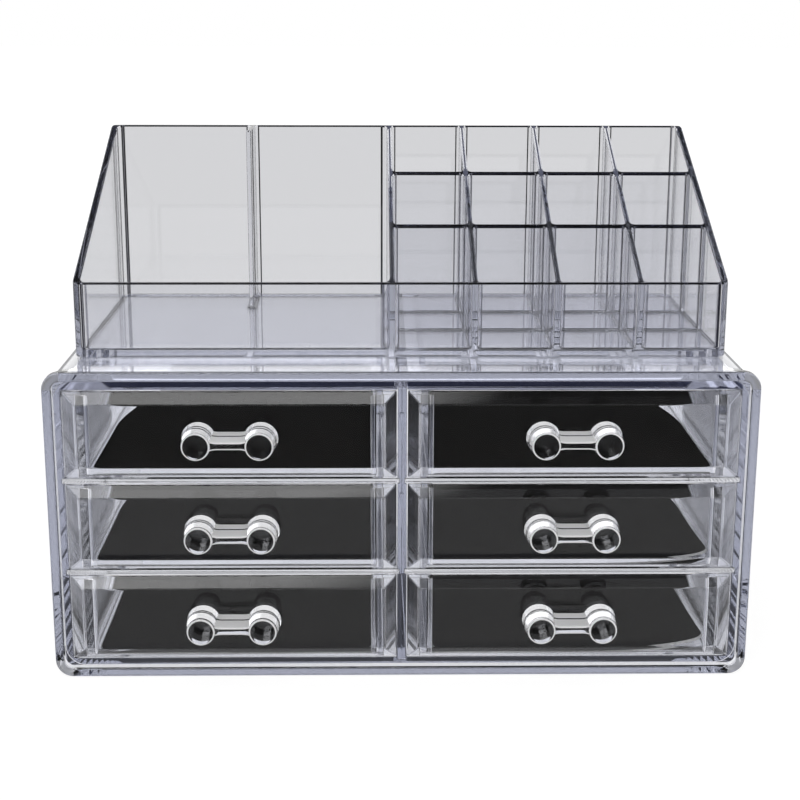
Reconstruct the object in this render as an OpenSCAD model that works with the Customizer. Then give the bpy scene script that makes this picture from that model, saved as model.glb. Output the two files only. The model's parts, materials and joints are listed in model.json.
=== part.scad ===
// Clear drawer organizer: a case with two columns of three drawers, and a divided tray that stands on it.
// Millimetres. X is to the right, Y away from the front, Z up. The origin is the centre of the case's footprint.

/* [Drawer front] */
// Width of a drawer's front plate
front_w = 112; // [80:1:150]
// Height of a drawer's front plate
front_h = 30.2; // [24:0.2:60]
// Thickness of the front plate, bevel included
front_t = 4; // [3.6:0.1:6]
// Width of the bevel that runs round the front plate
bevel_w = 4.2; // [1:0.2:6]
// Depth of that bevel
bevel_d = 2.5; // [0.5:0.1:2.8]

/* [Drawer tub] */
// Length of a drawer, from the raised face of its front to its back
drawer_l = 137; // [100:1:200]
// How far the tub's sides stand in from the front plate's edges
tub_inset = 4.6; // [1:0.2:8]
// How far the tub's rim lies below the front plate's top edge
tub_drop = 2; // [0:0.2:6]
// Thickness of the tub's sides and back
tub_wall = 2.2; // [1.2:0.1:3]
// Thickness of the tub's floor
tub_floor = 1.2; // [0.8:0.1:2.5]
// Corner radius inside the tub
tub_r = 2; // [0.5:0.1:4]

/* [Pad] */
// Thickness of the pad on the tub's floor
pad_t = 0.8; // [0.5:0.1:2]
// Gap between the pad and the tub's walls
pad_gap = 0.9; // [0.3:0.1:3]
// Corner radius of the pad
pad_r = 1.2; // [0.2:0.1:4]

/* [Handle] */
// Diameter of a handle's two knobs at their front
knob_d = 9.6; // [8:0.2:11.6]
// Diameter of the knobs where they meet the front plate
knob_base_d = 11.6; // [8:0.2:12]
// Distance between the two knobs
knob_pitch = 21; // [18:0.1:26]
// How far the handle stands out from the front
handle_out = 10.5; // [8:0.5:20]
// How far the handle's middle lies below the middle of the front plate
handle_drop = 0.7; // [0:0.1:3]
// Height of the bar between the knobs, at its front
bar_h = 2.8; // [2:0.1:4]
// Height of the bar where it meets the front plate
bar_base_h = 4.8; // [2:0.1:6]
// From a knob's centre to where its flare meets the bar
flare_l = 6.8; // [6.2:0.1:8.8]
// Half the height of the flare at the knob's centre
flare_h = 3.8; // [2.4:0.1:3.9]

/* [Case] */
// Wall thickness of the outer shell
shell_t = 3.2; // [2.4:0.1:5]
// Thickness of the inner frame's sides
frame_t = 2.6; // [2.4:0.1:5]
// Thickness of the inner frame's floor
floor_t = 2.5; // [2.2:0.1:5]
// Thickness of the inner frame's roof
roof_t = 3.5; // [2.2:0.1:5]
// Thickness of the wall between the two columns
centre_t = 3.2; // [2.2:0.1:5]
// Thickness of a shelf between two drawers
shelf_t = 1.9; // [1.4:0.1:4]
// Corner radius of the shell at its front rim
rim_r = 6; // [4:0.5:9]
// Corner radius of the shell behind the rim
body_r = 10; // [6:0.5:10]
// Depth of the rim, which is also how far the inner frame is set back
rim_l = 3; // [2:0.5:6]
// Length over which the rim's corners run into the larger radius behind
blend_l = 4; // [2:0.5:10]

/* [Case fits] */
// Gap on every side of a drawer's front plate in its bay, and under the tub
slide_gap = 0.3; // [0.2:0.05:0.8]
// How far the drawer fronts lie behind the shell's front edge
front_recess = 0.5; // [0:0.1:2]
// Gap behind a closed drawer
rear_gap = 1.3; // [0.5:0.1:5]
// Depth of the grooves in the inner frame
groove_d = 1; // [0.5:0.1:1.5]
// Depth of the shelf grooves in each face of the centre wall
centre_groove_d = 0.7; // [0.3:0.1:0.9]

/* [Tray] */
// How far the tray's sides stand in from the case's sides
tray_inset = 7.5; // [0:0.5:20]
// How far the tray's front stands behind the case's front
tray_setback = 21.9; // [0:0.5:35]
// Depth of the tray
tray_d = 102.5; // [80:0.5:105]
// Height of the tray's back wall
tray_h = 71; // [50:1:120]
// Height of the tray's front wall
tray_front_h = 26.2; // [15:0.2:45]
// Thickness of the tray's outer walls
tray_wall = 2.5; // [1.6:0.1:4]
// Thickness of the tray's floor
tray_floor = 2.4; // [1.6:0.1:4]
// Radius of the tray's outer corners
tray_r = 4; // [2:0.5:8]

/* [Tray dividers] */
// Thickness of the dividers
divider_t = 1.8; // [1.2:0.1:3]
// Where the long divider between the two halves stands, from the middle
divider_x = -3.2; // [-30:0.2:30]
// Length of the short divider on the back wall
stub_l = 24; // [10:1:60]
// Number of cells from left to right in the right half
cell_columns = 4; // [2:1:6]
// Number of cells from front to back in the right half
cell_rows = 3; // [2:1:4]
// Corner radius inside the open left half
bay_r = 2.5; // [0.5:0.1:5]
// Corner radius inside a cell
cell_r = 1.5; // [0.5:0.1:3]

/* [Hidden] */
$fn = 48;
// How far a cut runs past the face that it opens
past = 1;
// Thickness of the slices that the rim's blend is drawn between
slice = 0.02;

SIDES = ["left", "right"];
LEVELS = ["bottom", "middle", "top"];
SHELVES = ["lower", "upper"];
level_count = len(LEVELS);

function drawer_name(kind, side, level) = str(kind, "_", SIDES[side], "_", LEVELS[level]);
function shelf_name(side, shelf) = str("shelf_", SIDES[side], "_", SHELVES[shelf]);

// Places and sizes of the bays
bay_w = front_w + 2 * slide_gap;
bay_h = front_h + 2 * slide_gap;
row_pitch = bay_h + shelf_t;
first_bay_z = shell_t + floor_t;
bay_stack_h = level_count * bay_h + (level_count - 1) * shelf_t;
column_x = (centre_t + bay_w) / 2;

// Size of the case, which is built up round its drawers
case_w = centre_t + 2 * (bay_w + frame_t + shell_t);
case_h = first_bay_z + bay_stack_h + roof_t + shell_t;
case_d = front_recess + drawer_l + rear_gap + shell_t;
cavity_w = case_w - 2 * shell_t;
cavity_h = case_h - 2 * shell_t;
frame_hole_w = cavity_w - 2 * frame_t;
frame_l = case_d - shell_t - rim_l;

// The rounded corner leaves the inner frame's corner at least this share of its thinnest wall
corner_share = 0.15;
corner_room = (1 - corner_share) * min(frame_t, floor_t, roof_t) / (1 - sqrt(1 / 2));
corner_r = min(body_r, shell_t + corner_room);

// Tub, measured from the front plate
tub_w = front_w - 2 * tub_inset;
tub_l = drawer_l - front_t;
tub_h = front_h - tub_drop;
tub_hole_w = tub_w - 2 * tub_wall;
tub_hole_l = tub_l - tub_wall;

// Tray, measured from its own front left corner at (-tray_w / 2, 0)
tray_w = case_w - 2 * tray_inset;
tray_inner_x = tray_w / 2 - tray_wall;
tray_inner_d = tray_d - 2 * tray_wall;
bay_right_x = divider_x - divider_t / 2;
cells_left_x = divider_x + divider_t / 2;
cell_w = (tray_inner_x - cells_left_x - (cell_columns - 1) * divider_t) / cell_columns;
cell_d = (tray_inner_d - (cell_rows - 1) * divider_t) / cell_rows;
stub_x = (bay_right_x - tray_inner_x) / 2;

CLEAR = [0.84, 0.85, 0.93, 0.45];
CLEAR_TRAY = [0.88, 0.89, 0.92, 0.4];
BLACK = [0.05, 0.05, 0.06];

// Moves from the case's front edge to the origin's frame
module from_front() {
    translate([0, -case_d / 2, 0]) children();
}

// An outline in X and Z, carried back along Y from y = 0
module along_y(length) {
    translate([0, length, 0]) rotate([90, 0, 0]) linear_extrude(length) children();
}

// An outline in Y and Z, carried across X and centred on x = 0
module across_x(width) {
    translate([-width / 2, 0, 0]) rotate([90, 0, 90]) linear_extrude(width) children();
}

// A rectangle with four rounded corners, centred on the origin
module rounded(width, height, radius) {
    square([width - 2 * radius, height], center = true);
    square([width, height - 2 * radius], center = true);
    for (x = [-1, 1], y = [-1, 1])
        translate([x * (width / 2 - radius), y * (height / 2 - radius)]) circle(radius);
}

// A rectangle from y = 0 whose two far corners are rounded
module far_rounded(width, length, radius) {
    translate([-width / 2, 0]) square([width, length - radius]);
    translate([-width / 2 + radius, 0]) square([width - 2 * radius, length]);
    for (x = [-1, 1])
        translate([x * (width / 2 - radius), length - radius]) circle(radius);
}

// Front view of the case's outside, standing on z = 0
module case_outline(radius) {
    translate([0, case_h / 2]) rounded(case_w, case_h, radius);
}

// Front view of the space inside the shell
module cavity_outline(radius) {
    translate([0, case_h / 2]) rounded(cavity_w, cavity_h, radius);
}

// Moves to one of the two columns: side 0 is left, side 1 is right
module at_column(side) {
    translate([(2 * side - 1) * column_x, 0, 0]) children();
}

// Moves to the bottom middle of a closed drawer's raised front face
module at_drawer(side, level) {
    from_front() at_column(side)
        translate([0, front_recess, first_bay_z + slide_gap + level * row_pitch]) children();
}

// ---- Case ----

// One moulding, open at the front: the rim's tight corners run into a larger radius behind it
module case_shell() {
    color(CLEAR) from_front() difference() {
        union() {
            along_y(rim_l) case_outline(rim_r);
            translate([0, rim_l, 0]) hull() {
                along_y(slice) case_outline(rim_r, $fn = 32);
                translate([0, blend_l - slice, 0]) along_y(slice) case_outline(corner_r, $fn = 32);
            }
            translate([0, rim_l + blend_l, 0])
                along_y(case_d - rim_l - blend_l) case_outline(corner_r);
        }
        translate([0, -past, 0]) along_y(rim_l + past) cavity_outline(max(rim_r - shell_t, slice));
        translate([0, rim_l, 0]) along_y(frame_l) cavity_outline(corner_r - shell_t);
    }
}

// The height of a shelf's underside
function shelf_z(shelf) = first_bay_z + bay_h + shelf * row_pitch;

// A sleeve that lines the shell, grooved for the shelves and for the centre wall
module bay_frame() {
    color(CLEAR) from_front() translate([0, rim_l, 0]) difference() {
        along_y(frame_l) cavity_outline(corner_r - shell_t);
        translate([-frame_hole_w / 2, -past, first_bay_z])
            cube([frame_hole_w, frame_l + 2 * past, bay_stack_h]);
        for (shelf = [0:1])
            translate([-frame_hole_w / 2 - groove_d, -past, shelf_z(shelf)])
                cube([frame_hole_w + 2 * groove_d, frame_l + 2 * past, shelf_t]);
        translate([-centre_t / 2, -past, first_bay_z - groove_d])
            cube([centre_t, frame_l + 2 * past, bay_stack_h + 2 * groove_d]);
    }
}

// Stands in the frame's grooves and carries the inner edges of the shelves
module centre_wall() {
    color(CLEAR) from_front() translate([0, rim_l, 0]) difference() {
        translate([-centre_t / 2, 0, first_bay_z - groove_d])
            cube([centre_t, frame_l, bay_stack_h + 2 * groove_d]);
        for (x = [-1, 1], shelf = [0:1])
            translate([x * centre_t / 2 - centre_groove_d, -past, shelf_z(shelf)])
                cube([2 * centre_groove_d, frame_l + 2 * past, shelf_t]);
    }
}

// Slides into the grooves of the frame and of the centre wall
module shelf_plate(side, shelf) {
    shelf_w = bay_w + groove_d + centre_groove_d;
    // The two grooves differ in depth, so the shelf's middle isn't the column's
    shift = (2 * side - 1) * (groove_d - centre_groove_d) / 2;
    color(CLEAR) from_front() at_column(side)
        translate([shift - shelf_w / 2, rim_l, shelf_z(shelf)]) cube([shelf_w, frame_l, shelf_t]);
}

// ---- Drawer ----

// The front plate: a raised face with a mitred bevel on all four sides
module front_plate() {
    half = front_w / 2;
    intersection() {
        linear_extrude(front_h) polygon([
            [bevel_w - half, 0], [half - bevel_w, 0], [half, bevel_d],
            [half, front_t], [-half, front_t], [-half, bevel_d]
        ]);
        across_x(front_w) polygon([
            [0, bevel_w], [bevel_d, 0], [front_t, 0],
            [front_t, front_h], [bevel_d, front_h], [0, front_h - bevel_w]
        ]);
    }
}

// The space inside the tub, from its floor up past its rim
module tub_hole() {
    translate([0, front_t + tub_hole_l / 2, tub_floor])
        linear_extrude(tub_h - tub_floor + past) rounded(tub_hole_w, tub_hole_l, tub_r);
}

// Front plate and tub in one moulding
module drawer_box() {
    front_plate();
    difference() {
        translate([0, front_t, 0]) linear_extrude(tub_h) far_rounded(tub_w, tub_l, tub_r + tub_wall);
        tub_hole();
    }
}

module drawer(side, level) {
    color(CLEAR) at_drawer(side, level) drawer_box();
}

// Front view of the bar, which flares out towards each knob
module bar_outline() {
    knob_x = knob_pitch / 2;
    bar_x = knob_x - flare_l;
    polygon([
        [-knob_x, -flare_h], [-bar_x, -bar_h / 2], [bar_x, -bar_h / 2], [knob_x, -flare_h],
        [knob_x, flare_h], [bar_x, bar_h / 2], [-bar_x, bar_h / 2], [-knob_x, flare_h]
    ]);
}

// Two tapered knobs and the bar between them, which is thicker towards the front plate
module handle_body() {
    for (x = [-1, 1]) translate([x * knob_pitch / 2, 0, 0])
        rotate([90, 0, 0]) cylinder(h = handle_out, d1 = knob_base_d, d2 = knob_d);
    translate([0, -handle_out, 0]) along_y(handle_out) bar_outline();
    across_x(knob_pitch) polygon([
        [-handle_out, -bar_h / 2], [0, -bar_base_h / 2], [0, bar_base_h / 2], [-handle_out, bar_h / 2]
    ]);
}

module handle(side, level) {
    color(CLEAR) at_drawer(side, level) translate([0, 0, front_h / 2 - handle_drop]) handle_body();
}

// Lies loose on the tub's floor
module pad(side, level) {
    color(BLACK) at_drawer(side, level)
        translate([0, front_t + tub_hole_l / 2, tub_floor]) linear_extrude(pad_t)
            rounded(tub_hole_w - 2 * pad_gap, tub_hole_l - 2 * pad_gap, pad_r);
}

// ---- Tray ----

// Plan of the open left half
module left_half() {
    width = bay_right_x + tray_inner_x;
    translate([-tray_inner_x + width / 2, tray_d / 2]) rounded(width, tray_inner_d, bay_r);
}

// Plan of the cells in the right half
module cells() {
    for (column = [0:cell_columns - 1], row = [0:cell_rows - 1])
        translate([
            cells_left_x + cell_w / 2 + column * (cell_w + divider_t),
            tray_wall + cell_d / 2 + row * (cell_d + divider_t)
        ]) rounded(cell_w, cell_d, cell_r);
}

// Side view: low front wall, tall back wall and the straight slope between them
module tray_side() {
    polygon([
        [0, 0], [0, tray_front_h], [tray_wall, tray_front_h],
        [tray_d - tray_wall, tray_h], [tray_d, tray_h], [tray_d, 0]
    ]);
}

// Plan of the short divider, from the back wall forward to a round end
module stub_plan() {
    end_y = tray_d - tray_wall - stub_l + divider_t / 2;
    translate([stub_x - divider_t / 2, end_y]) square([divider_t, tray_d - tray_wall / 2 - end_y]);
    translate([stub_x, end_y]) circle(d = divider_t);
}

module tray_plan() {
    translate([0, tray_d / 2]) rounded(tray_w, tray_d, tray_r);
}

// One moulding: floor, walls and dividers cut off along the slope, and the short divider at full height
module tray() {
    color(CLEAR_TRAY) from_front() translate([0, tray_setback, case_h]) {
        linear_extrude(tray_floor) tray_plan();
        intersection() {
            linear_extrude(tray_h) difference() {
                tray_plan();
                left_half();
                cells();
            }
            across_x(tray_w) tray_side();
        }
        linear_extrude(tray_h) stub_plan();
    }
}

case_shell();
bay_frame();
centre_wall();
for (side = [0:1], shelf = [0:1])
    shelf_plate(side, shelf);
for (side = [0:1], level = [0:2]) {
    drawer(side, level);
    handle(side, level);
    pad(side, level);
}
tray();
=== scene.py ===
import bmesh
import bpy
import json
import math
from mathutils import Matrix, Vector, noise
from mathutils.geometry import delaunay_2d_cdt

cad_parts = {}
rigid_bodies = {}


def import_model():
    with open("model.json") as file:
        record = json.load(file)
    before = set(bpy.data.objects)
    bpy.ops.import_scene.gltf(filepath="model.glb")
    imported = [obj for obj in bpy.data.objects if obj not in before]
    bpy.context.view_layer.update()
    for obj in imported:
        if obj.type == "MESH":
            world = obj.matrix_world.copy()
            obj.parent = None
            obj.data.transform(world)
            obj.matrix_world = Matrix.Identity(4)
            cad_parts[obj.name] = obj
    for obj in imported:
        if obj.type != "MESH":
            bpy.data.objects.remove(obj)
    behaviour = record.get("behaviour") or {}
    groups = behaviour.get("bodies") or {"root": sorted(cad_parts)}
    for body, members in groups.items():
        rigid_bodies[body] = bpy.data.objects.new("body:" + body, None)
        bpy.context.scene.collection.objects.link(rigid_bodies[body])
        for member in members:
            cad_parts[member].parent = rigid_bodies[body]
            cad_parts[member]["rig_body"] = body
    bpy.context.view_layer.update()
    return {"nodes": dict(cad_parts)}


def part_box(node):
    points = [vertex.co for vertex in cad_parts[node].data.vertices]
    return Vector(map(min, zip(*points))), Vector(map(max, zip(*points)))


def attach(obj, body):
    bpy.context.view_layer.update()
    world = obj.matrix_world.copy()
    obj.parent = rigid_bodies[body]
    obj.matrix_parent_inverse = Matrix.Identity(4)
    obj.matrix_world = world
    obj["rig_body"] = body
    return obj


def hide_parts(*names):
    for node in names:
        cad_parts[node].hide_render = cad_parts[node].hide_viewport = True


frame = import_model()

MM = 0.001

# ---- Camera: fitted to the photograph's straight edges ----
CAMERA_PLACE = (-0.01024, -0.58294, 0.23195)
CAMERA_DOWN = 0.2536
CAMERA_TURN = math.radians(-1.048)
CAMERA_ROLL = math.radians(0.182)
CAMERA_LENS = 71.43
CAMERA_SENSOR = 36

# ---- Sizes, in millimetres ----
AIR = 0.04                 # gap left between faces that touch in the frame
FLAT_MARGIN = 0.3          # flat strip between a rounding and the face beside it
RIM_RADIUS = 6             # shell's corner at its front rim
BODY_RADIUS = 10           # shell's corner behind the rim
BLEND_LENGTH = 4           # length between the two
RIM_EDGE = 0.7             # rounding of the rim's edges
BACK_EDGE = 1.2            # rounding of the shell's back edge
LEDGE_SLOPE = 0.3          # length over which the shell's inside narrows towards its rim
ROOF_THICKNESS = 3.5
CASE_EDGE = 0.3            # rounding of the frame, the shelves and the centre wall
CASE_SHRINK = 0.05         # how far their faces are drawn in, so that none lies in another's face
DRAWER_EDGE = 0.4          # rounding of the drawers' edges
TRAY_WALL = 2.5
TRAY_FLOOR = 2.4
TRAY_FRONT_HEIGHT = 26.2
TRAY_RADIUS = 4
TRAY_EDGE = 0.6            # rounding of the tray's top edges
TRAY_FOOT_EDGE = 0.5       # rounding of its bottom edges
TRAY_FILLET = 1.0          # rounding where its walls meet its floor
# faces that pass this get the tray's near-black painted shade
TRAY_EDGE_UP = 0.15        # a face of its level top edges has a normal that rises by more than this
DIVIDER = 1.8
DIVIDER_X = -3.2
STUB_LENGTH = 24
STUB_ROOT = 1.6            # rounding where the short divider meets the wall
CELL_COLUMNS = 4
CELL_ROWS = 3
BAY_RADIUS = 2.5
CELL_RADIUS = 1.5
FRONT_THICKNESS = 4
KNOB_RADIUS = 4.8
KNOB_BASE_RADIUS = 5.8
KNOB_PITCH = 21
KNOB_EDGE = 0.6
# the dark line round a knob is painted shade
KNOB_LINE = 3.6            # where the dark line round a knob begins, from the drawer's front
KNOB_LINE_WIDTH = 0.8
KNOB_LINE_END = KNOB_LINE + KNOB_LINE_WIDTH
KNOB_STRAIGHT = 0.7        # share of a knob's length along which it tapers
BAR_HALF = 1.4
BAR_BASE_HALF = 2.4
BAR_EDGE = 0.6
BAR_SETBACK = 1.0          # how far the bar's front lies behind the knobs' fronts
FLARE_HALF = 3.6
FLARE_BASE_HALF = 4.8
FLARE_LENGTH = 6.8
FLARE_BEND = 1.8           # form of the flare's curve: with 1 it ends steeply, with 3 it ends level

# ---- Steps along curves ----
EDGE_STEPS = 4             # small roundings
FINE_EDGE_STEPS = 3        # the roundings of the tray's edges and the handle's bar
BLEND_STEPS = 4
CASE_CORNER_STEPS = 12
TRAY_CORNER_STEPS = 6
POCKET_CORNER_STEPS = 5
FLARE_STEPS = 7
KNOB_STEPS = 48
BEVEL_STEPS = 3

SHARP_ANGLE = math.radians(40)       # edges sharper than this aren't shaded smooth
BEVEL_ANGLE = math.radians(30)       # edges of the CAD's own shapes sharper than this are rounded
SAME_FACE_ANGLE = math.radians(0.6)  # faces that turn less than this are one face
SAME_PLACE = 0.01 * MM
CLOSE = 1e-6                         # lengths closer than this are the same
FLAT_FACE = 0.99                     # a face whose normal has more than this along an axis is square to it
STRAIGHT_SIDE = 0.999                # the same for the sides of a loop seen from above


def add_camera():
    data = bpy.data.cameras.new("camera")
    data.lens = CAMERA_LENS
    data.sensor_width = CAMERA_SENSOR
    camera = bpy.data.objects.new("camera", data)
    turn = Matrix.Rotation(CAMERA_TURN, 4, "Z")
    tilt = Matrix.Rotation(math.pi / 2 - CAMERA_DOWN, 4, "X")
    roll = Matrix.Rotation(CAMERA_ROLL, 4, "Z")
    camera.matrix_world = Matrix.Translation(CAMERA_PLACE) @ turn @ tilt @ roll
    bpy.context.collection.objects.link(camera)
    bpy.context.scene.camera = camera


# ---- Materials ----
def new_material(name):
    material = bpy.data.materials.new(name)
    material.use_nodes = True
    tree = material.node_tree
    tree.nodes.clear()
    output = tree.nodes.new("ShaderNodeOutputMaterial")
    shader = tree.nodes.new("ShaderNodeBsdfPrincipled")
    tree.links.new(shader.outputs["BSDF"], output.inputs["Surface"])
    return material, tree, shader, output


# What the plastic lets through on a long way inside it, such as along a wall
LONG_PATH = (0.53, 0.55, 0.64)
PLASTIC_IOR = 1.55


def clear_plastic(name, tint, density, shine=1.0, rough=0.0, clear=1.0):
    material, tree, shader, output = new_material(name)
    shader.inputs["Base Color"].default_value = (*tint, 1)
    shader.inputs["Transmission Weight"].default_value = clear
    shader.inputs["IOR"].default_value = PLASTIC_IOR
    shader.inputs["Roughness"].default_value = rough
    shader.inputs["Specular Tint"].default_value = (shine, shine, shine, 1)
    inside = tree.nodes.new("ShaderNodeVolumeAbsorption")
    inside.inputs["Color"].default_value = (*LONG_PATH, 1)
    inside.inputs["Density"].default_value = density
    tree.links.new(inside.outputs["Volume"], output.inputs["Volume"])
    return material


FOAM_ROUGHNESS = 0.85
FOAM_SPECULAR = 0.2
FOAM_GRAIN_SCALE = 900
FOAM_GRAIN_DETAIL = 4
FOAM_GRAIN_DARK, FOAM_GRAIN_LIGHT = 0.35, 0.7
FOAM_BUMP = 0.5
FOAM_BUMP_HEIGHT = 0.3 * MM


def foam(name, dark, light):
    material, tree, shader, _ = new_material(name)
    shader.inputs["Roughness"].default_value = FOAM_ROUGHNESS
    shader.inputs["Specular IOR Level"].default_value = FOAM_SPECULAR
    place = tree.nodes.new("ShaderNodeTexCoord")
    grain = tree.nodes.new("ShaderNodeTexNoise")
    grain.inputs["Scale"].default_value = FOAM_GRAIN_SCALE
    grain.inputs["Detail"].default_value = FOAM_GRAIN_DETAIL
    bump = tree.nodes.new("ShaderNodeBump")
    bump.inputs["Strength"].default_value = FOAM_BUMP
    bump.inputs["Distance"].default_value = FOAM_BUMP_HEIGHT
    ramp = tree.nodes.new("ShaderNodeValToRGB")
    low, high = ramp.color_ramp.elements
    low.position, low.color = FOAM_GRAIN_DARK, (*dark, 1)
    high.position, high.color = FOAM_GRAIN_LIGHT, (*light, 1)
    tree.links.new(place.outputs["Object"], grain.inputs["Vector"])
    tree.links.new(grain.outputs["Fac"], bump.inputs["Height"])
    tree.links.new(bump.outputs["Normal"], shader.inputs["Normal"])
    tree.links.new(grain.outputs["Fac"], ramp.inputs["Fac"])
    tree.links.new(ramp.outputs["Color"], shader.inputs["Base Color"])
    return material


# ---- World and floor ----
SKY = (  # sine of the height above the horizon, brightness
    (0.00, 1.0),
    (0.05, 1.0),
    (0.10, 0.85),
    (0.2205, 0.85),
    (0.225, 2.2),
    (0.232, 2.2),
    (0.2345, 0.9),
    (0.31, 0.9),
    (0.36, 0.12),
    (0.95, 0.12),
    (1.00, 0.3),
)
SKY_TOP = 4                # brightness that the sky's ramp shows as white
DIFFUSE_SKY = 0.8          # what matt surfaces get from every side
# A softbox high on the left, in front of the object
SOFTBOX_TOWARDS = (-0.28, -0.58, 0.765)
SOFTBOX_EDGE = (0.93, 0.955)         # cosines of the angles from its middle where it starts and is full
SOFTBOX_VALUE = 3.5
# Two dim lamps, on the left and on the right
SIDE_EDGE = (0.70, 0.85)             # the same, from straight left or right
SIDE_VALUE = 0.35


def math_node(tree, operation, *values):
    """The result of a Math node whose inputs are numbers or other nodes' results."""
    node = tree.nodes.new("ShaderNodeMath")
    node.operation = operation
    for socket, value in zip(node.inputs, values):
        if isinstance(value, bpy.types.NodeSocket):
            tree.links.new(value, socket)
        else:
            socket.default_value = value
    return node.outputs["Value"]


def lamp_node(tree, facing, edge, brightness):
    """A lamp that fades in while facing goes from one end of edge to the other."""
    lamp = tree.nodes.new("ShaderNodeMapRange")
    lamp.inputs["From Min"].default_value = edge[0]
    lamp.inputs["From Max"].default_value = edge[1]
    lamp.inputs["To Max"].default_value = brightness
    tree.links.new(facing, lamp.inputs["Value"])
    return lamp.outputs["Result"]


def unless(tree, ray, value, replacement):
    """The value, or the replacement for rays of that kind."""
    mix = tree.nodes.new("ShaderNodeMix")
    mix.inputs["B"].default_value = replacement
    tree.links.new(ray, mix.inputs["Factor"])
    tree.links.new(value, mix.inputs["A"])
    return mix.outputs["Result"]


def add_world():
    world = bpy.data.worlds.new("studio")
    bpy.context.scene.world = world
    world.use_nodes = True
    tree = world.node_tree
    background = tree.nodes["Background"]
    background.inputs["Color"].default_value = (1, 1, 1, 1)
    place = tree.nodes.new("ShaderNodeTexCoord")
    split = tree.nodes.new("ShaderNodeSeparateXYZ")
    tree.links.new(place.outputs["Generated"], split.inputs["Vector"])
    ramp = tree.nodes.new("ShaderNodeValToRGB")
    tree.links.new(split.outputs["Z"], ramp.inputs["Fac"])
    stops = ramp.color_ramp.elements
    while len(stops) < len(SKY):
        stops.new(1.0)
    for stop, (height, value) in zip(stops, SKY):
        grey = value / SKY_TOP
        stop.position = height
        stop.color = (grey, grey, grey, 1)
    sky = math_node(tree, "MULTIPLY", ramp.outputs["Color"], SKY_TOP)
    facing = tree.nodes.new("ShaderNodeVectorMath")
    facing.operation = "DOT_PRODUCT"
    facing.inputs[1].default_value = Vector(SOFTBOX_TOWARDS).normalized()
    tree.links.new(place.outputs["Generated"], facing.inputs[0])
    softbox = lamp_node(tree, facing.outputs["Value"], SOFTBOX_EDGE, SOFTBOX_VALUE)
    sideways = math_node(tree, "ABSOLUTE", split.outputs["X"])
    sides = lamp_node(tree, sideways, SIDE_EDGE, SIDE_VALUE)
    studio = math_node(tree, "ADD", sky, math_node(tree, "ADD", softbox, sides))
    path = tree.nodes.new("ShaderNodeLightPath")
    soft = unless(tree, path.outputs["Is Diffuse Ray"], studio, DIFFUSE_SKY)
    seen = unless(tree, path.outputs["Is Camera Ray"], soft, 1)
    tree.links.new(seen, background.inputs["Strength"])


FLOOR_HALF = 6             # half of the floor's width, in metres
FLOOR_DROP = 0.2           # how far the floor lies below the part, in millimetres
FLOOR_GREY = 0.16
FLOOR_NEAR = 0.15          # distances from the object's middle, in metres
FLOOR_FAR = 0.75
FLOOR_CLEAR_NEAR = 0.90    # what the floor gives off to rays through plastic at these distances
FLOOR_CLEAR_FAR = 0.60
# What it gives off to other rays
FLOOR_GLOSS = 0.10
FLOOR_RAYS = (("Is Glossy Ray", FLOOR_GLOSS), ("Is Diffuse Ray", 0.5), ("Is Camera Ray", 0.9))


def add_floor():
    mesh = bpy.data.meshes.new("floor")
    corners = [(x * FLOOR_HALF, y * FLOOR_HALF, 0) for x, y in ((-1, -1), (1, -1), (1, 1), (-1, 1))]
    mesh.from_pydata(corners, [], [(0, 1, 2, 3)])
    floor = bpy.data.objects.new("floor", mesh)
    floor.location.z = -FLOOR_DROP * MM
    bpy.context.collection.objects.link(floor)
    material, tree, shader, _ = new_material("floor")
    shader.inputs["Base Color"].default_value = (FLOOR_GREY, FLOOR_GREY, FLOOR_GREY, 1)
    shader.inputs["Specular IOR Level"].default_value = 0
    shader.inputs["Roughness"].default_value = 1
    shader.inputs["Emission Color"].default_value = (1, 1, 1, 1)
    place = tree.nodes.new("ShaderNodeTexCoord")
    reach = tree.nodes.new("ShaderNodeVectorMath")
    reach.operation = "LENGTH"
    tree.links.new(place.outputs["Object"], reach.inputs[0])
    fade = tree.nodes.new("ShaderNodeMapRange")
    fade.interpolation_type = "SMOOTHSTEP"
    fade.inputs["From Min"].default_value = FLOOR_NEAR
    fade.inputs["From Max"].default_value = FLOOR_FAR
    # a ray through plastic counts as a glossy one too
    fade.inputs["To Min"].default_value = FLOOR_CLEAR_NEAR - FLOOR_GLOSS
    fade.inputs["To Max"].default_value = FLOOR_CLEAR_FAR - FLOOR_GLOSS
    tree.links.new(reach.outputs["Value"], fade.inputs["Value"])
    path = tree.nodes.new("ShaderNodeLightPath")
    given = math_node(tree, "MULTIPLY", path.outputs["Is Transmission Ray"], fade.outputs["Result"])
    for ray, strength in FLOOR_RAYS:
        given = math_node(tree, "MULTIPLY_ADD", path.outputs[ray], strength, given)
    tree.links.new(given, shader.inputs["Emission Strength"])
    mesh.materials.append(material)


# ---- Mesh helpers ----
def finish_piece(node, mesh, materials):
    """Shows a finished mesh in place of its CAD node, on the node's own body."""
    if not mesh.materials:
        for material in materials:
            mesh.materials.append(material)
    for face in mesh.polygons:
        face.use_smooth = True
    mesh.set_sharp_from_angle(angle=SHARP_ANGLE)
    piece = bpy.data.objects.new(node + "_piece", mesh)
    bpy.context.collection.objects.link(piece)
    normals = piece.modifiers.new("normals", "WEIGHTED_NORMAL")
    normals.keep_sharp = True
    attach(piece, frame["nodes"][node]["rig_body"])
    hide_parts(node)
    return piece


def join_rings(bm, rings, lines=()):
    """Faces between rings of vertices that have as many points each; those at lines get material 1."""
    for lower, upper in zip(rings, rings[1:]):
        for i in range(len(lower)):
            j = (i + 1) % len(lower)
            face = bm.faces.new((lower[i], lower[j], upper[j], upper[i]))
            face.material_index = int(i in lines)


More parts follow.
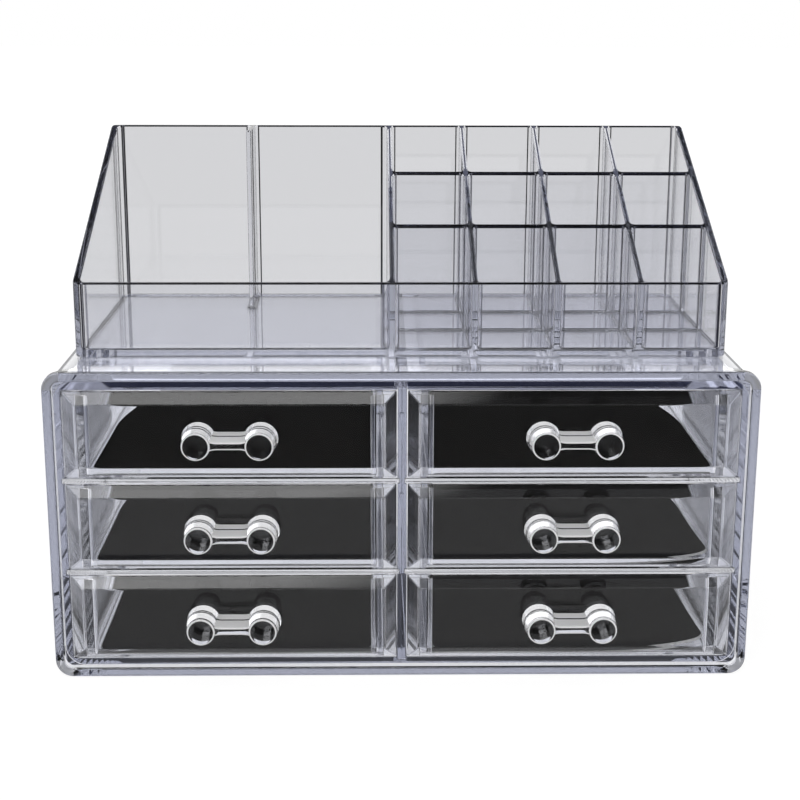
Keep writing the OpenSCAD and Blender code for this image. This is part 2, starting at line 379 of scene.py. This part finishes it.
def lofted(name, loops):
    """A closed mesh through loops of points in millimetres, capped at both ends."""
    bm = bmesh.new()
    rings = [[bm.verts.new(Vector(p) * MM) for p in loop] for loop in loops]
    join_rings(bm, rings)
    bm.faces.new(rings[0])
    bm.faces.new(rings[-1])
    bmesh.ops.recalc_face_normals(bm, faces=bm.faces)
    mesh = bpy.data.meshes.new(name)
    bm.to_mesh(mesh)
    bm.free()
    return mesh


def rounded_loop(half_x, half_y, radius, steps):
    """Points of a rounded rectangle with their outward directions, anticlockwise."""
    points = []
    for quarter, (side_x, side_y) in enumerate(((1, -1), (1, 1), (-1, 1), (-1, -1))):
        for step in range(steps + 1):
            angle = math.pi / 2 * (quarter - 1 + step / steps)
            out = (math.cos(angle), math.sin(angle))
            x = side_x * (half_x - radius) + radius * out[0]
            y = side_y * (half_y - radius) + radius * out[1]
            points.append((x, y, *out))
    return points


def quarter_turn(radius, steps):
    """(inset, depth) pairs along a rounded edge, from the face that it leaves to the one that it reaches."""
    turn = [math.pi / 2 * step / steps for step in range(steps + 1)]
    return [(radius * (1 - math.sin(a)), radius * (1 - math.cos(a))) for a in turn]


def millimetres(node):
    low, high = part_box(node)
    return low / MM, high / MM


# ---- Case ----
def add_shell(materials):
    """The shell, with material 1, a paler, partly matt copy of its plastic that paints light into dark arcs,
    on the front faces of its rim's corners.
    """
    low, high = millimetres("case_shell")
    hole_low, hole_high = millimetres("bay_frame")
    half_x, half_z = (high.x - low.x) / 2, (high.z - low.z) / 2
    hole_x, hole_z = (hole_high.x - hole_low.x) / 2, (hole_high.z - hole_low.z) / 2
    middle_z = (high.z + low.z) / 2
    ledge = hole_low.y
    wall = half_x - hole_x
    outside = []
    for inset, depth in quarter_turn(BACK_EDGE, EDGE_STEPS):
        outside.append((high.y - depth, inset, BODY_RADIUS - inset))
    outside.append((ledge + BLEND_LENGTH, 0, BODY_RADIUS))
    for step in range(BLEND_STEPS - 1, -1, -1):
        share = step / BLEND_STEPS
        radius = RIM_RADIUS + (BODY_RADIUS - RIM_RADIUS) * share
        outside.append((ledge + BLEND_LENGTH * share, 0, radius))
    for inset, depth in reversed(quarter_turn(RIM_EDGE, EDGE_STEPS)):
        outside.append((low.y + depth, inset, RIM_RADIUS - inset))
    inside = []
    for inset, depth in quarter_turn(RIM_EDGE, EDGE_STEPS):
        inside.append((low.y + depth, -inset, RIM_RADIUS - wall + inset))
    inside.append((ledge - LEDGE_SLOPE, 0, RIM_RADIUS - wall))
    inside.append((ledge, 0, BODY_RADIUS - wall))
    inside.append((hole_high.y, 0, BODY_RADIUS - wall))
    loops = []
    for half_w, half_h, sections in ((half_x, half_z, outside), (hole_x, hole_z, inside)):
        for y, inset, radius in sections:
            loop = rounded_loop(half_w - inset, half_h - inset, radius, CASE_CORNER_STEPS)
            loops.append([(p[0], y, middle_z + p[1]) for p in loop])
    mesh = lofted("case_shell", loops)
    # painted light: the front faces of the rim's corners get the paler, partly matt copy
    for face in mesh.polygons:
        at_front = face.center.y < (low.y + RIM_EDGE) * MM
        at_corner = face.index % (CASE_CORNER_STEPS + 1) != CASE_CORNER_STEPS
        face.material_index = int(at_front and at_corner)
    finish_piece("case_shell", mesh, materials)


def bevelled(node, materials, edge, shrink, pick):
    """The CAD node's own shape with its sharp edges rounded. Pick gives a face its material's number."""
    bm = bmesh.new()
    bm.from_mesh(frame["nodes"][node].data)
    bmesh.ops.remove_doubles(bm, verts=bm.verts, dist=SAME_PLACE)
    bmesh.ops.dissolve_limit(bm, angle_limit=SAME_FACE_ANGLE, verts=bm.verts, edges=bm.edges)
    sharp = [e for e in bm.edges if len(e.link_faces) == 2 and e.calc_face_angle(0) > BEVEL_ANGLE]
    bmesh.ops.bevel(
        bm,
        geom=sharp,
        offset=edge * MM,
        segments=BEVEL_STEPS,
        profile=0.5,
        affect="EDGES",
        clamp_overlap=False,
    )
    bm.normal_update()
    for face in bm.faces:
        face.material_index = pick(face)
    for v in bm.verts:
        v.co -= v.normal * shrink * MM * v.calc_shell_factor()
    mesh = bpy.data.meshes.new(node)
    bm.to_mesh(mesh)
    bm.free()
    finish_piece(node, mesh, materials)


def add_case_part(node, materials):
    """The frame, a shelf or the centre wall, with material 1, a darker plastic that paints shade, on the
    front face of the frame's roof.
    """
    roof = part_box(node)[1].z - ROOF_THICKNESS * MM

    def pick(face):
        faces_front = face.normal.y < -FLAT_FACE
        # painted shade on the roof's front face
        return int(node == "bay_frame" and faces_front and face.calc_center_median().z > roof)

    bevelled(node, materials, CASE_EDGE, CASE_SHRINK, pick)


# ---- Tray ----
# A loop of the tray is a list of points (x, y, outward x, outward y, tall), seen from above. Tall points
# belong to the short divider, which is as high as the back wall.
def pocket_loop(left, right, front, back, radius, steps=POCKET_CORNER_STEPS):
    half_x, half_y = (right - left) / 2, (back - front) / 2
    middle_x, middle_y = (left + right) / 2, (front + back) / 2
    points = rounded_loop(half_x, half_y, radius, steps)
    return [(x + middle_x, y + middle_y, u, v, False) for x, y, u, v in points]


def stub_loop(x, wall_y, end_y):
    """Outline of the short divider, from the wall on its right round to the wall on its left."""
    half, root = DIVIDER / 2, STUB_ROOT
    points = []
    turns = (
        (x + half + root, wall_y - root, root, 90, 180, 1),
        (x, end_y, half, 0, -180, -1),
        (x - half - root, wall_y - root, root, 0, 90, 1),
    )
    for centre_x, centre_y, radius, start, end, facing in turns:
        for step in range(POCKET_CORNER_STEPS + 1):
            angle = math.radians(start + (end - start) * step / POCKET_CORNER_STEPS)
            u, v = math.cos(angle), math.sin(angle)
            points.append((centre_x + radius * u, centre_y + radius * v, facing * u, facing * v, True))
    return points


def with_creases(loop, edge, creases):
    """Adds a point wherever the loop, drawn edge further out, crosses a crease of the top surface."""
    result = []
    for a, b in zip(loop, loop[1:] + loop[:1]):
        result.append(a)
        start, end = a[1] + a[3] * edge, b[1] + b[3] * edge
        if a[4] and b[4]:
            continue
        for crease in sorted(creases, reverse=end < start):
            if min(start, end) < crease - CLOSE and crease + CLOSE < max(start, end):
                share = (crease - start) / (end - start)
                result.append(tuple(p + (q - p) * share for p, q in zip(a[:4], b[:4])) + (False,))
    return result


def corner_lines(loop):
    """Where the loop's rounded corners begin and end: strips painted dark, as painted shade for the light
    that the corners bend away.
    """
    square = [max(abs(u), abs(v)) > STRAIGHT_SIDE for x, y, u, v, tall in loop]
    return {i for i, here in enumerate(square) if here != square[(i + 1) % len(loop)]}


def inside_outline(x, y, outline):
    hit = False
    for (ax, ay), (bx, by) in zip(outline, outline[1:] + outline[:1]):
        if (ay > y) != (by > y) and x < ax + (bx - ax) * (y - ay) / (by - ay):
            hit = not hit
    return hit


def add_tray(materials):
    """The tray, with material 1, painted shade, on its lines along corners and slopes and material 2,
    near-black painted shade, on its level edges.
    """
    low, high = millimetres("tray")
    half_x, depth, height = (high.x - low.x) / 2, high.y - low.y, high.z - low.z
    inner_x = half_x - TRAY_WALL
    inner_y = depth - 2 * TRAY_WALL
    wall_y = depth - TRAY_WALL
    creases = (TRAY_WALL, wall_y)
    bay_right = DIVIDER_X - DIVIDER / 2
    cells_left = DIVIDER_X + DIVIDER / 2
    cell_w = (inner_x - cells_left - (CELL_COLUMNS - 1) * DIVIDER) / CELL_COLUMNS
    cell_d = (inner_y - (CELL_ROWS - 1) * DIVIDER) / CELL_ROWS
    stub_x = (bay_right - inner_x) / 2
    stub_end = wall_y - STUB_LENGTH + DIVIDER / 2

    def top(y, tall):
        if tall:
            return height
        share = min(max((y - TRAY_WALL) / inner_y, 0), 1)
        return TRAY_FRONT_HEIGHT + (height - TRAY_FRONT_HEIGHT) * share

    bay = pocket_loop(-inner_x, bay_right, TRAY_WALL, wall_y, BAY_RADIUS)
    turned = len(bay) // 2
    bay = bay[:turned] + stub_loop(stub_x, wall_y, stub_end) + bay[turned:]
    pockets = [bay]
    column_dividers = [DIVIDER_X + column * (cell_w + DIVIDER) for column in range(CELL_COLUMNS)]
    for column in range(CELL_COLUMNS):
        for row in range(CELL_ROWS):
            left = cells_left + column * (cell_w + DIVIDER)
            front = TRAY_WALL + row * (cell_d + DIVIDER)
            pockets.append(pocket_loop(left, left + cell_w, front, front + cell_d, CELL_RADIUS))
    outer = pocket_loop(-half_x, half_x, 0, depth, TRAY_RADIUS, TRAY_CORNER_STEPS)
    outer = with_creases(outer, -TRAY_EDGE, creases)
    pockets = [with_creases(loop, TRAY_EDGE, creases) for loop in pockets]

    bm = bmesh.new()

    def ring(loop, offset, level):
        """A ring of vertices: level gives the height of a point, from its place and whether it is tall."""
        made = []
        for x, y, u, v, tall in loop:
            px, py = x + u * offset, y + v * offset
            made.append(bm.verts.new(Vector((px, low.y + py, low.z + level(py, tall))) * MM))
        return made

    rims = []
    for inset, drop in quarter_turn(TRAY_EDGE, FINE_EDGE_STEPS):
        rims.append(ring(outer, -inset, lambda y, tall: top(y, tall) - drop))
    for inset, lift in reversed(quarter_turn(TRAY_FOOT_EDGE, FINE_EDGE_STEPS)):
        rims.append(ring(outer, -inset, lambda y, tall: AIR + lift))
    rims.append(ring(outer, -TRAY_FOOT_EDGE - FLAT_MARGIN, lambda y, tall: AIR))
    join_rings(bm, rims, corner_lines(outer))
    bm.faces.new(rims[-1])
    edge_rings = [(outer, rims[0], -TRAY_EDGE)]
    for loop in pockets:
        rings = []
        for inset, drop in quarter_turn(TRAY_EDGE, FINE_EDGE_STEPS):
            rings.append(ring(loop, inset, lambda y, tall: top(y, tall) - drop))
        for inset, lift in reversed(quarter_turn(TRAY_FILLET, EDGE_STEPS)):
            rings.append(ring(loop, -inset, lambda y, tall: TRAY_FLOOR + lift))
        rings.append(ring(loop, -TRAY_FILLET - FLAT_MARGIN, lambda y, tall: TRAY_FLOOR))
        join_rings(bm, rings, corner_lines(loop))
        bm.faces.new(rings[-1])
        edge_rings.append((loop, rings[0], TRAY_EDGE))

    # the top surface, between the outer rim and the pockets' rims; its sloping strips get the darker painted
    # shade and its level faces the near-black painted shade
    flat, owners, borders, outlines = [], [], [], []
    for loop, verts, offset in edge_rings:
        start = len(flat)
        outline = [(x + u * offset, y + v * offset) for x, y, u, v, tall in loop]
        outlines.append(outline)
        flat += [Vector(p) for p in outline]
        owners += verts
        borders += [(start + i, start + (i + 1) % len(loop)) for i in range(len(loop))]
    for crease in creases:
        crossing = sorted((p.x, i) for i, p in enumerate(flat) if abs(p.y - crease) < 100 * CLOSE)
        for (ax, a), (bx, b) in zip(crossing[0::2], crossing[1::2]):
            borders.append((a, b))
    places, _, faces, origin, _, _ = delaunay_2d_cdt(flat, borders, [], 0, 10 * CLOSE)
    for face in faces:
        x = sum(places[i].x for i in face) / len(face)
        y = sum(places[i].y for i in face) / len(face)
        if inside_outline(x, y, outlines[0]) and not any(inside_outline(x, y, o) for o in outlines[1:]):
            sloping = abs(x) > inner_x or any(abs(x - c) < DIVIDER / 2 for c in column_dividers)
            made = bm.faces.new([owners[origin[i][0]] for i in face])
            made.material_index = 1 if sloping and TRAY_WALL < y < wall_y else 2
    bmesh.ops.recalc_face_normals(bm, faces=bm.faces)
    above_fillet = (low.z + TRAY_FLOOR + TRAY_FILLET) * MM
    # faces of the level edges' roundings that turn up get the near-black painted shade too
    for face in bm.faces:
        across = abs(face.normal.y) > 2 * abs(face.normal.x) and face.normal.z > TRAY_EDGE_UP
        if across and face.material_index == 0 and face.calc_center_median().z > above_fillet:
            face.material_index = 2
    mesh = bpy.data.meshes.new("tray")
    bm.to_mesh(mesh)
    bm.free()
    finish_piece("tray", mesh, materials)


# ---- Drawers ----
def add_drawer(node, materials):
    """A drawer, with material 1, a copy of its plastic with weaker reflections that paints shade, on the
    flat faces of its front plate.
    """
    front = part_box(node)[0].y
    back = front + FRONT_THICKNESS * MM

    def pick(face):
        y = face.calc_center_median().y
        on_plate = min(abs(y - front), abs(y - back)) < 5 * SAME_PLACE
        return int(on_plate and abs(face.normal.y) > FLAT_FACE)

    bevelled(node, materials, DRAWER_EDGE, 0, pick)


def circle_loop(radius):
    turn = [2 * math.pi * step / KNOB_STEPS for step in range(KNOB_STEPS)]
    return [Vector((radius * math.cos(a), radius * math.sin(a))) for a in turn]


def bar_loop(half, flare, reach):
    """Front view of the bar, anticlockwise: straight in the middle, curving out to the knobs' centres."""
    bar_end = reach - FLARE_LENGTH
    lower = []
    for step in range(FLARE_STEPS + 1):
        t = step / FLARE_STEPS
        x = bar_end + (reach - bar_end) * t
        lower.append(Vector((x, -half - (flare - half) * t * t * (FLARE_BEND - (FLARE_BEND - 1) * t))))
    upper = [Vector((p.x, -p.y)) for p in reversed(lower)]
    right = lower + upper
    return right + [Vector((-p.x, -p.y)) for p in right]


def joined(meshes):
    """One closed mesh out of closed meshes that overlap."""
    base = bpy.data.objects.new("joined", meshes[0])
    bpy.context.collection.objects.link(base)
    others = []
    for mesh in meshes[1:]:
        other = bpy.data.objects.new("joined_part", mesh)
        bpy.context.collection.objects.link(other)
        others.append(other)
        union = base.modifiers.new("union", "BOOLEAN")
        union.operation = "UNION"
        union.solver = "EXACT"
        union.object = other
    graph = bpy.context.evaluated_depsgraph_get()
    result = bpy.data.meshes.new_from_object(base.evaluated_get(graph))
    for used in [base] + others:
        bpy.data.objects.remove(used)
    return result


# material 2 on this strip is painted shade
LINE_STRIP = 1             # strip of faces between the loops at both ends of the dark line
# material 3 on these strips is a painted highlight
KNOB_RIM_STRIPS = (5, 6, 7)  # those of the rounding of a knob's front edge, apart from the first
# Faces of the bar, by how far their normals turn to the front and up; its rounding and sloping upper side
# get the painted highlight
BAR_FLAT = 0.985           # its flat front turns to the front by more than this
BAR_ROUNDING = 0.2         # its rounding by more than this
BAR_SLOPE = 0.08           # its sloping upper side by more than this,
BAR_UP = 0.1               # and up by more than this


def add_handle(node, materials):
    """A handle. Material 1, with weaker reflections that paint shade, is on its front faces, 2, painted
    shade, on its dark lines and 3, a painted highlight, on its bright rims.
    """
    low, high = millimetres(node)
    middle_x, middle_z = (low.x + high.x) / 2, (low.z + high.z) / 2
    base_y = high.y - AIR
    out = base_y - low.y
    reach = KNOB_PITCH / 2

    def placed(loop, distance, x=0):
        return [(middle_x + x + p.x, base_y - distance, middle_z + p.y) for p in loop]

    parts = []
    for x in (-reach, reach):
        loops = []
        for distance in (0, KNOB_LINE, KNOB_LINE_END, out * KNOB_STRAIGHT):
            radius = KNOB_BASE_RADIUS + (KNOB_RADIUS - KNOB_BASE_RADIUS) * distance / out
            loops.append(placed(circle_loop(radius), distance, x))
        for inset, depth in reversed(quarter_turn(KNOB_EDGE, EDGE_STEPS)):
            loops.append(placed(circle_loop(KNOB_RADIUS - inset), out - depth, x))
        loops.append(placed(circle_loop(KNOB_RADIUS - KNOB_EDGE - FLAT_MARGIN), out, x))
        parts.append(lofted(node, loops))
        for face in parts[-1].polygons:
            strip = face.index // KNOB_STEPS
            if strip == LINE_STRIP:
                face.material_index = 2
            elif strip in KNOB_RIM_STRIPS:
                face.material_index = 3
    bar_out = out - BAR_SETBACK
    loops = []
    for distance in (0, KNOB_LINE, KNOB_LINE_END):
        share = distance / bar_out
        half = BAR_BASE_HALF + (BAR_HALF - BAR_BASE_HALF) * share
        flare = FLARE_BASE_HALF + (FLARE_HALF - FLARE_BASE_HALF) * share
        loops.append(placed(bar_loop(half, flare, reach), distance))
    for inset, depth in reversed(quarter_turn(BAR_EDGE, FINE_EDGE_STEPS)):
        loops.append(placed(bar_loop(BAR_HALF - inset, FLARE_HALF - inset, reach), bar_out - depth))
    parts.append(lofted(node, loops))
    bar_points = len(loops[0])
    for face in parts[-1].polygons:
        forward, upward = -face.normal.y, face.normal.z
        if face.index // bar_points == LINE_STRIP:
            face.material_index = 2
        elif BAR_SLOPE < forward < BAR_FLAT and (upward > BAR_UP or forward > BAR_ROUNDING):
            face.material_index = 3
    for mesh in parts:
        for material in materials:
            mesh.materials.append(material)
    mesh = joined(parts)
    for face in mesh.polygons:
        if abs(face.normal.y) > FLAT_FACE:
            face.material_index = 1
    finish_piece(node, mesh, materials)


# ---- Pads, in millimetres ----
PAD_ROWS, PAD_COLUMNS = 40, 30
PADS = {  # lift of the front right corner, lift of the back edge, seed
    "pad_left_top": (0.0, 1.5, 1),
    "pad_left_middle": (0.0, 1.2, 2),
    "pad_left_bottom": (0.0, 1.0, 3),
    "pad_right_top": (0.3, 1.5, 4),
    "pad_right_middle": (3.4, 1.2, 5),
    "pad_right_bottom": (4.5, 1.0, 6),
}
PAD_CORNER = 5             # radius of a pad's corners
PAD_HIGHLIGHT_EDGE = 0.5       # width of the sloping edge that carries the pale painted highlight, seen from above
PAD_SHIFT = 0.6            # how far the right column's pads lie towards the outside
PAD_BOW = 12               # how far a pad's outer back corner curls in
PAD_BOW_START = 56         # where that begins, from the pad's front
PAD_LIFT_LENGTH = 75       # how far back a lifted front corner reaches
PAD_MARGIN = 0.3           # how far the sides are drawn in
PAD_SIDE_WAVE = 0.35       # waviness of the sides
PAD_WAVE_RATE = 0.02       # waves a millimetre
PAD_SWELL = 0.25           # height of the gentle swells on top
PAD_SWELL_RATE = 0.03      # swells a millimetre
PAD_AIR = 0.03             # gap under the pad, and what its thickness loses above and below


def smooth(t):
    return t * t * (3 - 2 * t)


def add_pad(node, materials):
    """A thin sheet with rounded corners, with material 1, a pale painted highlight, on its edge."""
    low, high = millimetres(node)
    corner_lift, back_lift, seed = PADS[node]
    outer = 1 if "right" in node else -1
    half_x, length = (high.x - low.x) / 2, high.y - low.y
    thick = high.z - low.z
    middle_x = (low.x + high.x) / 2

    def place(across, along):
        """Across runs from -1 to 1, along from 0 at the front to 1 at the back."""
        y = along * length
        bow = PAD_BOW * smooth(max(0, (y - PAD_BOW_START) / (length - PAD_BOW_START)))
        wave = PAD_SIDE_WAVE * noise.noise(Vector((seed, y * PAD_WAVE_RATE, across)))
        x = across * (half_x - PAD_MARGIN + wave) - outer * bow * max(0, outer * across) ** 3
        corner = max(0, across) ** 3 * max(0, 1 - y / PAD_LIFT_LENGTH) ** 2
        lift = corner_lift * corner + back_lift * along ** 3
        swell = Vector((seed * 3, x * PAD_SWELL_RATE, y * PAD_SWELL_RATE))
        lift += PAD_SWELL * (1 + noise.noise(swell)) / 2
        if outer > 0:
            x += PAD_SHIFT
        return Vector((middle_x + x, low.y + y, low.z + PAD_AIR + lift))

    bm = bmesh.new()
    top, bottom = {}, {}
    for row in range(PAD_ROWS + 1):
        for column in range(PAD_COLUMNS + 1):
            across = 2 * column / PAD_COLUMNS - 1
            along = row / PAD_ROWS
            # the grid's corners are drawn in to round the sheet's corners
            from_side = (1 - abs(across)) * half_x
            from_end = min(along, 1 - along) * length
            if from_side < PAD_CORNER and from_end < PAD_CORNER:
                reach_x, reach_y = PAD_CORNER - from_side, PAD_CORNER - from_end
                scale = max(reach_x, reach_y) / max(math.hypot(reach_x, reach_y), CLOSE)
                from_side, from_end = PAD_CORNER - reach_x * scale, PAD_CORNER - reach_y * scale
                across = math.copysign(1 - from_side / half_x, across)
                along = from_end / length if along < 0.5 else 1 - from_end / length
            spot = place(across, along)
            shift = Vector((0, 0, thick - 2 * PAD_AIR))
            # the top's border is drawn out so that the edge slopes and shows the painted highlight from
            # above
            if row in (0, PAD_ROWS) or column in (0, PAD_COLUMNS):
                shift += Vector((-across, 0.5 - along, 0)).normalized() * PAD_HIGHLIGHT_EDGE
            bottom[row, column] = bm.verts.new(spot * MM)
            top[row, column] = bm.verts.new((spot + shift) * MM)
    for row in range(PAD_ROWS):
        for column in range(PAD_COLUMNS):
            corners = ((row, column), (row, column + 1), (row + 1, column + 1), (row + 1, column))
            bm.faces.new([top[c] for c in corners])
            bm.faces.new([bottom[c] for c in reversed(corners)])
    border = [(0, c) for c in range(PAD_COLUMNS)]
    border += [(r, PAD_COLUMNS) for r in range(PAD_ROWS)]
    border += [(PAD_ROWS, c) for c in range(PAD_COLUMNS, 0, -1)]
    border += [(r, 0) for r in range(PAD_ROWS, 0, -1)]
    for a, b in zip(border, border[1:] + border[:1]):
        side = bm.faces.new((bottom[a], bottom[b], top[b], top[a]))
        side.material_index = 1
    bmesh.ops.recalc_face_normals(bm, faces=bm.faces)
    mesh = bpy.data.meshes.new(node)
    bm.to_mesh(mesh)
    bm.free()
    piece = finish_piece(node, mesh, materials)


def add_pieces():
    case = clear_plastic("case_plastic", (0.925, 0.93, 0.955), 13)
    # painted light: a paler, partly matt copy that lightens the rim corners' dark arcs
    rim_painted_light = clear_plastic("case_rim_painted_light", (0.85, 0.86, 0.92), 13, rough=0.12, clear=0.6)
    # painted shade: a darker copy of the plastic for the front face of the frame's roof
    roof_painted_shade = clear_plastic("case_roof_painted_shade", (0.75, 0.75, 0.8), 14, shine=0.5)
    shelf = clear_plastic("shelf_plastic", (0.96, 0.963, 0.975), 1)
    drawer = clear_plastic("drawer_plastic", (0.95, 0.953, 0.97), 3, rough=0.05)
    # painted shade: copies of the drawer plastic with weaker reflections, the top drawer's weaker still, so
    # front faces look dark
    top_front_shade = clear_plastic("front_painted_shade", (0.93, 0.935, 0.95), 4, shine=0.15)
    lower_front_shade = clear_plastic("lower_front_painted_shade", (0.93, 0.935, 0.95), 4, shine=0.6)
    tray = clear_plastic("tray_plastic", (0.91, 0.913, 0.935), 15)
    # painted shade: a darker copy of the tray plastic for lines along corners and slopes
    tray_painted_shade_line = clear_plastic("tray_corner_painted_shade", (0.28, 0.28, 0.31), 15, shine=0.8)
    # painted shade: near-black tray plastic for its level top edges
    tray_top = clear_plastic("tray_top_edge", (0.012, 0.012, 0.016), 15, shine=0.3)
    knob = clear_plastic("knob_plastic", (0.97, 0.97, 0.98), 7)
    # painted shade: a near-black line round each knob and along the bar
    knob_painted_shade = clear_plastic("knob_painted_shade", (0.02, 0.02, 0.02), 7, shine=0.2)
    # painted highlight: a mostly matt white copy for the knobs' and bar's bright rims
    knob_painted_highlight = clear_plastic("knob_painted_highlight", (0.97, 0.97, 0.98), 7, rough=0.3, clear=0.1)
    # painted highlight: pale foam for the pads' edges
    foam_edge = foam("foam_edge", (0.75, 0.75, 0.75), (0.9, 0.9, 0.9))
    black = foam("foam", (0.008, 0.0055, 0.005), (0.018, 0.013, 0.011))
    add_shell([case, rim_painted_light])
    add_tray([tray, tray_painted_shade_line, tray_top])
    for node in sorted(frame["nodes"]):
        if node.startswith("pad"):
            add_pad(node, [black, foam_edge])
        elif node.startswith("drawer"):
            add_drawer(node, [drawer, top_front_shade if node.endswith("top") else lower_front_shade])
        elif node.startswith("handle"):
            add_handle(node, [knob, top_front_shade, knob_painted_shade, knob_painted_highlight])
        elif node not in ("tray", "case_shell"):
            add_case_part(node, [shelf if "shelf" in node else case, roof_painted_shade])


def main():
    add_camera()
    add_world()
    add_floor()
    scene = bpy.context.scene
    scene.view_settings.view_transform = "Standard"
    # light has to get through many walls
    scene.cycles.max_bounces = 40
    scene.cycles.transmission_bounces = 36
    scene.cycles.glossy_bounces = 24
    scene.cycles.diffuse_bounces = 3
    scene.cycles.transparent_max_bounces = 24
    add_pieces()


main()
